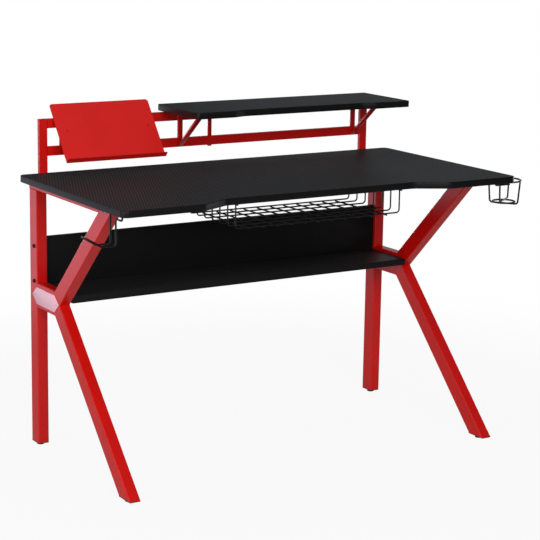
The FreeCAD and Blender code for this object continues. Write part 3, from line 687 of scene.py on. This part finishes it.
@dataclass
class BandedBoard:
    """A laminated board with a front recess and a rounded band round its edge."""

    name: str
    body: str
    board_node: str
    band_node: str
    corner_radius: float
    recess: Recess
    band: float = 0.002
    rounding: float = 0.0018
    rounding_steps: int = 3
    corner_steps: int = 10

    def plan(self, shape: Shape) -> tuple[Faces, Faces, bmesh.types.BMLayerItem]:
        """Draw the flat outline at the underside of the board.

        Args:
            shape: Empty mesh to draw in.

        Returns:
            The inner face, the faces of the band and the layer that marks the outer corners.
        """
        low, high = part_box(self.band_node)
        mid = (low.x + high.x) / 2
        mouth, floor = self.recess.mouth / 2, self.recess.floor / 2
        inner_y = low.y + self.recess.depth
        ends = [(low.x, high.y), (high.x, high.y), (high.x, low.y)]
        bends = [(mid + mouth, low.y), (mid + floor, inner_y), (mid - floor, inner_y), (mid - mouth, low.y)]
        outline = [shape.verts.new((x, y, low.z)) for x, y in (*ends, *bends, (low.x, low.y))]
        shape.faces.new(outline)
        bent = outline[len(ends):-1]
        square = [vert for vert in outline if vert not in bent]
        for corners, setback in ((square, self.corner_radius), (bent, self.recess.setback())):
            soften(shape, corners, setback, self.corner_steps, Rounded.CORNERS)
        outer = shape.verts.layers.int.new("outer")
        for vert in shape.verts:
            vert[outer] = 1
        inner = list(shape.faces)
        ring = bmesh.ops.inset_region(
            shape, faces=inner, thickness=self.band, use_boundary=True, use_even_offset=True
        )["faces"]
        for vert in {vert for face in inner for vert in face.verts}:
            vert[outer] = 0
        return inner, ring, outer

    def raise_up(self, shape: Shape) -> None:
        """Extrude the flat faces of a shape to the thickness of the board."""
        low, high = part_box(self.band_node)
        thicken(shape, shape.faces[:], (0.0, 0.0, high.z - low.z))

    def build(self, workshop: Workshop) -> None:
        """Make the board and its band.

        Args:
            workshop: Workshop that makes the pieces.
        """
        core = bmesh.new()
        _, ring, _ = self.plan(core)
        bmesh.ops.delete(core, geom=ring, context="FACES")
        self.raise_up(core)
        face_outwards(core)
        workshop.piece(self.name + "_surface", core, self.body, self.board_node)
        band = bmesh.new()
        inner, _, outer = self.plan(band)
        bmesh.ops.delete(band, geom=inner, context="FACES_ONLY")
        self.raise_up(band)
        rims = [
            edge for edge in band.edges
            if all(vert[outer] for vert in edge.verts) and edge.verts[0].co.z == edge.verts[1].co.z
        ]
        soften(band, rims, self.rounding, self.rounding_steps)
        face_outwards(band)
        workshop.piece(self.name + "_rim", band, self.body, self.band_node)


@dataclass
class PlainBoard:
    """A straight board with softly broken edges."""

    node: str
    body: str
    top_skin_and_painted_light: Finish
    rounding: float = 0.0008
    rounding_steps: int = 3

    def build(self, workshop: Workshop) -> None:
        """Make the board in the box of its node, with a second skin on its top faces; the lower shelf's
        lighter top skin is painted light.

        Args:
            workshop: Workshop that makes the piece.
        """
        low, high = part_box(self.node)
        shape = bmesh.new()
        bmesh.ops.create_cube(shape, size=1.0)
        bmesh.ops.scale(shape, verts=shape.verts, vec=high - low)
        bmesh.ops.translate(shape, verts=shape.verts, vec=(low + high) / 2)
        soften(shape, shape.edges[:], self.rounding, self.rounding_steps)
        face_outwards(shape)
        made = workshop.piece(self.node + "_board", shape, self.body, self.node)
        # Top faces take the second skin; on the lower shelf it is lighter than the sides, painted light on
        # the top.
        made.data.materials.append(workshop.material(self.top_skin_and_painted_light))
        for polygon in made.data.polygons:
            polygon.material_index = int(polygon.normal.z > TOP_SLOPE)


@dataclass
class FlatBars:
    """Straight flat bars of one node, with softly broken edges."""

    node: str
    body: str
    rounding: float = 0.0007
    rounding_steps: int = 2

    def build(self, workshop: Workshop) -> None:
        """Make each bar as the hull of its corners.

        Args:
            workshop: Workshop that makes the piece.
        """
        shape = bmesh.new()
        for points in workshop.islands(self.node):
            corners = [shape.verts.new(point) for point in points]
            bmesh.ops.convex_hull(shape, input=corners)
        bmesh.ops.dissolve_limit(shape, angle_limit=FLAT_ANGLE, verts=shape.verts, edges=shape.edges)
        soften(shape, shape.edges[:], self.rounding, self.rounding_steps)
        face_outwards(shape)
        workshop.piece(self.node + "_bars", shape, self.body, self.node)


@dataclass
class KneePlates:
    """The two pointed plates over the knees, with softly broken edges."""

    node: str = "knee_plates"
    body: str = "desk"
    tip: float = 0.026
    thickness: float = 0.002
    rounding: float = 0.0005
    rounding_steps: int = 2

    def build(self, workshop: Workshop) -> None:
        """Make both plates.

        Args:
            workshop: Workshop that makes the piece.
        """
        low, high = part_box(self.node)
        middle_z = (low.z + high.z) / 2
        shape = bmesh.new()
        places = [(low.y, middle_z), (low.y + self.tip, low.z), (high.y - self.tip, low.z)]
        places += [(high.y, middle_z), (high.y - self.tip, high.z), (low.y + self.tip, high.z)]
        for x in (low.x, high.x - self.thickness):
            face = shape.faces.new([shape.verts.new((x, y, z)) for y, z in places])
            thicken(shape, [face], (self.thickness, 0.0, 0.0))
        soften(shape, shape.edges[:], self.rounding, self.rounding_steps)
        face_outwards(shape)
        workshop.piece("knee_cover_plates", shape, self.body, self.node)


@dataclass(frozen=True)
class FastenerKind:
    """Form of a bolt or screw, with shares of the radius and the height of its head."""

    drive: Drive
    head_height: float
    shank_radius: float
    drive_share: float = 0.52
    pit_share: float = 0.6
    cross_waist_share: float = 0.42
    crown_shares: tuple[Span, ...] = ((1.0, 0.0), (1.0, 0.45), (0.93, 0.75), (0.74, 0.97), (0.62, 1.0))
    segments: int = 24

    def loop(self, shape: Shape, radius: float, height: float, count: int) -> Edges:
        """Draw a level ring of edges.

        Args:
            shape: Mesh to draw in.
            radius: Radius of the ring.
            height: Height above the seat.
            count: Number of edges.

        Returns:
            The edges.
        """
        level = Matrix.Translation((0.0, 0.0, height))
        made = bmesh.ops.create_circle(shape, radius=radius, segments=count, matrix=level)["verts"]
        return list({edge for vert in made for edge in vert.link_edges})

    def pinch(self, edges: Edges) -> None:
        """Draw the corners between the arms of twelve-sided rings in, so that they become crosses.

        Args:
            edges: Edges of the rings.
        """
        step = 2 * math.pi / self.drive.value
        spacing = self.drive.value // CROSS_ARMS
        for vert in {vert for edge in edges for vert in edge.verts}:
            turn = round(math.atan2(vert.co.y, vert.co.x) / step)
            if turn % spacing == 0:
                vert.co.xy *= self.cross_waist_share

    def model(self, head_radius: float, length: float) -> Shape:
        """Model one fastener with its seat at zero and its head upwards.

        Args:
            head_radius: Radius of the head.
            length: Length of the shank below the seat.

        Returns:
            The mesh of the fastener.
        """
        shape = bmesh.new()
        tip = self.loop(shape, self.shank_radius, -length, self.segments)
        bmesh.ops.contextual_create(shape, geom=tip)
        rings = [tip, self.loop(shape, self.shank_radius, 0.0, self.segments)]
        for radius_share, height_share in self.crown_shares:
            height = self.head_height * height_share
            rings.append(self.loop(shape, head_radius * radius_share, height, self.segments))
        pit_radius = head_radius * self.drive_share
        pit_floor = self.head_height * (1 - self.pit_share)
        mouth = self.loop(shape, pit_radius, self.head_height, self.drive.value)
        floor = self.loop(shape, pit_radius, pit_floor, self.drive.value)
        if self.drive is Drive.CROSS:
            self.pinch(mouth + floor)
        rings += [mouth, floor]
        for first, second in zip(rings, rings[1:]):
            bmesh.ops.bridge_loops(shape, edges=first + second)
        bmesh.ops.contextual_create(shape, geom=floor)
        return shape


SOCKET_BOLT = FastenerKind(Drive.HEXAGON, head_height=0.004, shank_radius=0.003)
WOOD_SCREW = FastenerKind(Drive.CROSS, head_height=0.0024, shank_radius=0.002)
SHEET_SCREW = FastenerKind(
    Drive.CROSS, head_height=0.0016, shank_radius=0.002, drive_share=0.58, pit_share=0.8
)


@dataclass
class FastenerGroup:
    """Bolts or screws of one kind, with rounded heads and a recess for the driver."""

    node: str
    facing: Facing
    kind: FastenerKind
    body: str

    def build(self, workshop: Workshop) -> None:
        """Make all fasteners of the group where the node has its solids.

        Args:
            workshop: Workshop that makes the piece.
        """
        middle_x = workshop.middle_x()
        group = bmesh.new()
        for points in workshop.islands(self.node):
            centre = sum(points, Vector()) / len(points)
            turn = self.facing.at(centre, middle_x).to_track_quat("Z", "Y").to_matrix()
            local = [turn.transposed() @ point for point in points]
            low = Vector(map(min, *local))
            high = Vector(map(max, *local))
            seat = Vector(((low.x + high.x) / 2, (low.y + high.y) / 2, high.z - self.kind.head_height))
            one = self.kind.model((high.x - low.x) / 2, seat.z - low.z)
            place = Matrix.Translation(turn @ seat) @ turn.to_4x4()
            bmesh.ops.transform(one, verts=one.verts, matrix=place)
            face_outwards(one)
            single = bpy.data.meshes.new(self.node + "_single")
            one.to_mesh(single)
            one.free()
            group.from_mesh(single)
            bpy.data.meshes.remove(single)
        workshop.piece(self.node + "_heads", group, self.body, self.node)


@dataclass
class SubAssembly:
    """A group of pieces of one body that are made and dressed together."""

    workshop: Workshop
    body: str = "desk"
    kept: tuple[str, ...] = ()
    bolt: FastenerKind = SOCKET_BOLT
    screw: FastenerKind = WOOD_SCREW

    def build(self) -> None:
        """Make the new pieces of the group."""

    def dress(self) -> None:
        """Give the nodes that keep their shape their finish."""
        for node in self.kept:
            self.workshop.dress_node(node)

    def bolts(self, node: str, facing: Facing) -> None:
        """Make hexagon-socket bolts for a node."""
        FastenerGroup(node, facing, self.bolt, self.body).build(self.workshop)

    def screws(self, node: str, facing: Facing) -> None:
        """Make cross-recess screws for a node."""
        FastenerGroup(node, facing, self.screw, self.body).build(self.workshop)


@dataclass
class Desktop(SubAssembly):
    """The board of the desk, its edge band and the screws that hold it from below."""

    corner_radius: float = 0.018
    recess: Recess = Recess(depth=0.045, mouth=0.752, floor=0.576, bend_radius=0.040)

    def build(self) -> None:
        """Make the board, the band and the screws."""
        board = BandedBoard(
            "desktop", self.body, "desktop_board", "desktop_edge_band", self.corner_radius, self.recess
        )
        board.build(self.workshop)
        self.screws("desktop_screws", Facing.DOWN)


@dataclass
class SideFrames(SubAssembly):
    """Both K-shaped tube frames with their knee plates, and the stretchers between them."""

    kept: tuple[str, ...] = (
        "left_rear_post", "right_rear_post", "left_top_bar", "right_top_bar",
        "left_crossbar", "right_crossbar", "left_upper_leg", "right_upper_leg",
        "left_lower_leg", "right_lower_leg",
        "middle_stretcher", "rear_stretcher", "knee_plate_rivets",
    )

    def build(self) -> None:
        """Make the knee plates and the bolts of the stretchers."""
        KneePlates(body=self.body).build(self.workshop)
        self.bolts("stretcher_bolts", Facing.INWARD)


@dataclass
class RailFrame(SubAssembly):
    """Upright posts and rails behind the board."""

    kept: tuple[str, ...] = ("left_upper_post", "right_upper_post", "upper_rail", "lower_rail")

    def build(self) -> None:
        """Make the tie of the rails and the bolts of the posts."""
        FlatBars("rail_tie", self.body).build(self.workshop)
        self.bolts("upper_post_bolts", Facing.REAR)


@dataclass
class LowerStorage(SubAssembly):
    """Back panel and lower shelf between the side frames."""

    kept: tuple[str, ...] = ("lower_shelf_bolts",)
    panel_top: Finish = FINISHES[Slot.BLACK_BOARD]
    # The lower shelf's top is painted lighter than its sides: painted light.
    shelf_painted_light_top: Finish = LOWER_SHELF_LIT_TOP_SKIN

    def build(self) -> None:
        """Make both boards, and the bolts and screws of the panel."""
        PlainBoard("back_panel", self.body, self.panel_top).build(self.workshop)
        PlainBoard("lower_shelf", self.body, self.shelf_painted_light_top).build(self.workshop)
        self.bolts("panel_bolts", Facing.OUTWARD)
        self.screws("panel_screws", Facing.REAR)


@dataclass
class WireGoods(SubAssembly):
    """Basket, headphone hook and cup holder of bent wire, which hang below the board."""

    kept: tuple[str, ...] = (
        "basket_long_wires", "basket_cross_wires", "basket_rims", "headphone_hook",
        "cup_top_ring", "cup_floor_ring", "cup_uprights", "cup_arms",
    )

    def build(self) -> None:
        """Make the screws of the wire goods."""
        self.screws("accessory_screws", Facing.DOWN)


@dataclass
class MonitorShelf(SubAssembly):
    """The shelf that slides on the rails, with its edge band and its brackets."""

    body: str = "monitor_shelf"
    kept: tuple[str, ...] = ("shelf_arms",)
    corner_radius: float = 0.008
    recess: Recess = Recess(depth=0.013, mouth=0.466, floor=0.384, bend_radius=0.040)

    def build(self) -> None:
        """Make the board, the band, the straight bars of the brackets and the screws."""
        board = BandedBoard(
            "monitor_shelf", self.body, "monitor_shelf_board", "monitor_shelf_band",
            self.corner_radius, self.recess,
        )
        board.build(self.workshop)
        for node in ("shelf_uprights", "shelf_struts"):
            FlatBars(node, self.body).build(self.workshop)
        self.screws("shelf_screws", Facing.DOWN)


@dataclass
class TabletRest(SubAssembly):
    """The folded sheet that slides on the upper rail, with its bent bars and screws."""

    body: str = "tablet_rest"
    kept: tuple[str, ...] = ("rest_brackets",)
    screw: FastenerKind = SHEET_SCREW
    sheet: str = "rest_plate"
    sheet_finish: Finish = REST_SHEET_SKIN

    def build(self) -> None:
        """Make the screws of the sheet."""
        self.screws("rest_screws", Facing.REST_FACE)

    def dress(self) -> None:
        """Give the bars the coat of the frame, and the sheet its own."""
        super().dress()
        self.workshop.dress_node(self.sheet, self.sheet_finish)


@dataclass
class LevellingFeet(SubAssembly):
    """Inserts in the tube ends, with the stud and the pad of each foot."""

    kept: tuple[str, ...] = ("rear_foot_inserts", "front_foot_inserts")
    corners: tuple[str, ...] = ("rear_left", "rear_right", "front_left", "front_right")

    def dress(self) -> None:
        """Give the inserts, the pads and the studs their finish."""
        super().dress()
        for corner in self.corners:
            self.workshop.dress_node(corner + "_foot_pad")
            self.workshop.dress_node(corner + "_foot_stud")


@dataclass(frozen=True)
class Lamp:
    """One soft box of the studio."""

    name: str
    place: Point
    size: Span
    power: float

    def build(self, target: Point) -> None:
        """Hang the lamp.

        Args:
            target: Place that it is turned to.
        """
        light = bpy.data.lights.new(self.name, "AREA")
        light.shape = "RECTANGLE"
        light.size, light.size_y = self.size
        light.energy = self.power
        hung = bpy.data.objects.new(self.name, light)
        hung.location = self.place
        hung.rotation_euler = (Vector(target) - hung.location).to_track_quat("-Z", "Y").to_euler()
        bpy.context.scene.collection.objects.link(hung)


@dataclass(frozen=True)
class PhotoCamera:
    """Camera at the viewing angle of the photograph, with lengths in metres and angles in degrees."""

    place: Point = (-2.478738, -3.977046, 1.493240)
    azimuth: float = -31.03826
    elevation: float = 11.66545
    roll: float = 0.79283
    focal_pixels: float = 1749.594
    centre_pixel: Span = (245.0, 255.0)
    image_pixels: float = 540.0

    def build(self) -> None:
        """Make the camera and set it as the scene's own."""
        data = bpy.data.cameras.new("photo_camera")
        data.lens = data.sensor_width * self.focal_pixels / self.image_pixels
        middle = self.image_pixels / 2
        data.shift_x = (middle - self.centre_pixel[0]) / self.image_pixels
        data.shift_y = (self.centre_pixel[1] - middle) / self.image_pixels
        azimuth, elevation = math.radians(self.azimuth), math.radians(self.elevation)
        level = math.cos(elevation)
        back = Vector((math.sin(azimuth) * level, -math.cos(azimuth) * level, math.sin(elevation)))
        right = Vector((math.cos(azimuth), math.sin(azimuth), 0.0))
        turn = Matrix((right, back.cross(right), back)).transposed()
        turn = turn @ Matrix.Rotation(math.radians(self.roll), 3, "Z")
        camera = bpy.data.objects.new("photo_camera", data)
        camera.matrix_world = Matrix.Translation(self.place) @ turn.to_4x4()
        bpy.context.scene.collection.objects.link(camera)
        bpy.context.scene.camera = camera


@dataclass
class Studio:
    """Plain pale floor, soft lamps, a surround that is white behind the desk, and the camera."""

    floor_radius: float = 2.2
    floor_segments: int = 96
    floor_color: Color = (0.52, 0.52, 0.52)
    floor_roughness: float = 0.9
    white_from: float = 0.9
    white_share: float = 0.92
    ambient: float = 0.22
    mirrored_dark: float = 0.05
    white: Color = (1.0, 1.0, 1.0)
    mirrored_tint: Color = (0.98, 0.98, 1.16)
    backdrop_from: Span = (-0.30, 0.20)
    backdrop_top: Span = (0.10, -0.04)
    target: Point = (0.0, 0.0, 0.5)
    lamps: tuple[Lamp, ...] = (
        Lamp("key_box", (-1.7, -5.1, 2.9), (3.2, 2.8), 208.0),
        Lamp("left_box", (-4.2, -1.4, 1.3), (2.4, 2.2), 80.0),
        Lamp("top_box", (-0.6, 0.2, 3.4), (3.0, 2.0), 12.0),
        Lamp("rear_box", (3.0, 3.5, 1.8), (2.2, 2.0), 6.0),
        Lamp("back_box", (-1.5, 4.2, 3.0), (2.4, 2.0), 18.0),
        Lamp("low_rear_box", (0.9, 4.6, 0.36), (3.4, 0.6), 60.0),
        Lamp("low_right_box", (4.6, 0.6, 0.36), (2.6, 0.6), 45.0),
    )

    def floor_paint(self) -> bpy.types.Material:
        """Make the paint of the floor, which turns to plain white for the camera towards the rim.

        Returns:
            The new material.
        """
        graph = ShaderGraph("studio_floor_paint")
        graph.constants(
            Base_Color=(*self.floor_color, OPAQUE), Roughness=self.floor_roughness, Specular_IOR_Level=0.0
        )
        distance = graph.add("ShaderNodeVectorMath", operation="LENGTH")
        graph.links.new(graph.place(), distance.inputs[0])
        fade = graph.ramp(
            distance.outputs["Value"],
            (self.white_from, self.floor_radius), (self.white_share, 1.0), Ramp.SMOOTH,
        )
        rays = graph.add("ShaderNodeLightPath").outputs
        share = graph.compute("MULTIPLY", rays["Is Camera Ray"], fade)
        white = graph.add("ShaderNodeEmission")
        mix = graph.add("ShaderNodeMixShader")
        for socket, output in zip(mix.inputs, (share, graph.shader.outputs[0], white.outputs[0])):
            graph.links.new(output, socket)
        graph.links.new(mix.outputs[0], graph.nodes["Material Output"].inputs["Surface"])
        return graph.material

    def build_floor(self) -> None:
        """Lay the floor."""
        shape = bmesh.new()
        bmesh.ops.create_circle(
            shape, cap_ends=True, radius=self.floor_radius, segments=self.floor_segments
        )
        mesh = bpy.data.meshes.new("studio_floor")
        shape.to_mesh(mesh)
        shape.free()
        mesh.materials.append(self.floor_paint())
        made = bpy.data.objects.new("studio_floor", mesh)
        bpy.context.scene.collection.objects.link(made)

    def build_world(self) -> None:
        """Make the surround: white to the camera, and white in reflections of what lies behind the desk."""
        world = bpy.data.worlds.new("studio_world")
        world.use_nodes = True
        graph = NodeTree(world.node_tree)
        split = graph.add("ShaderNodeSeparateXYZ")
        graph.links.new(graph.add("ShaderNodeTexCoord").outputs["Generated"], split.inputs[0])
        behind = graph.ramp(split.outputs["Y"], self.backdrop_from, course=Ramp.SMOOTH)
        below = graph.ramp(split.outputs["Z"], self.backdrop_top, course=Ramp.SMOOTH)
        backdrop = graph.compute("MULTIPLY", behind, below)
        mirrored = graph.ramp(backdrop, UNIT, (self.mirrored_dark, 1.0))
        rays = graph.add("ShaderNodeLightPath").outputs
        reflected = graph.compute("MAXIMUM", rays["Is Glossy Ray"], rays["Is Transmission Ray"])
        level = graph.mix(Mixed.FLOAT, reflected, self.ambient, mirrored)
        level = graph.mix(Mixed.FLOAT, rays["Is Camera Ray"], level, 1.0)
        surround = graph.nodes["Background"]
        graph.feed(surround.inputs["Color"], graph.blend(reflected, self.white, self.mirrored_tint))
        graph.feed(surround.inputs["Strength"], level)
        bpy.context.scene.world = world

    def build(self) -> None:
        """Set up the studio and the camera."""
        self.build_floor()
        self.build_world()
        for lamp in self.lamps:
            lamp.build(self.target)
        PhotoCamera().build()
        bpy.context.scene.view_settings.view_transform = "Standard"


def clear_scene() -> None:
    """Remove what a new file holds."""
    for stray in list(bpy.data.objects):
        bpy.data.objects.remove(stray)


def main() -> None:
    """Load the frame, make and dress the desk, and set up the studio."""
    logging.basicConfig(level=logging.INFO, format="%(name)s: %(message)s")
    clear_scene()
    workshop = Workshop.open()
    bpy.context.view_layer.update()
    kinds = (Desktop, SideFrames, RailFrame, LowerStorage, WireGoods, MonitorShelf, TabletRest, LevellingFeet)
    for kind in kinds:
        group = kind(workshop)
        group.build()
        group.dress()
    Studio().build()


if __name__ == "__main__":
    main()
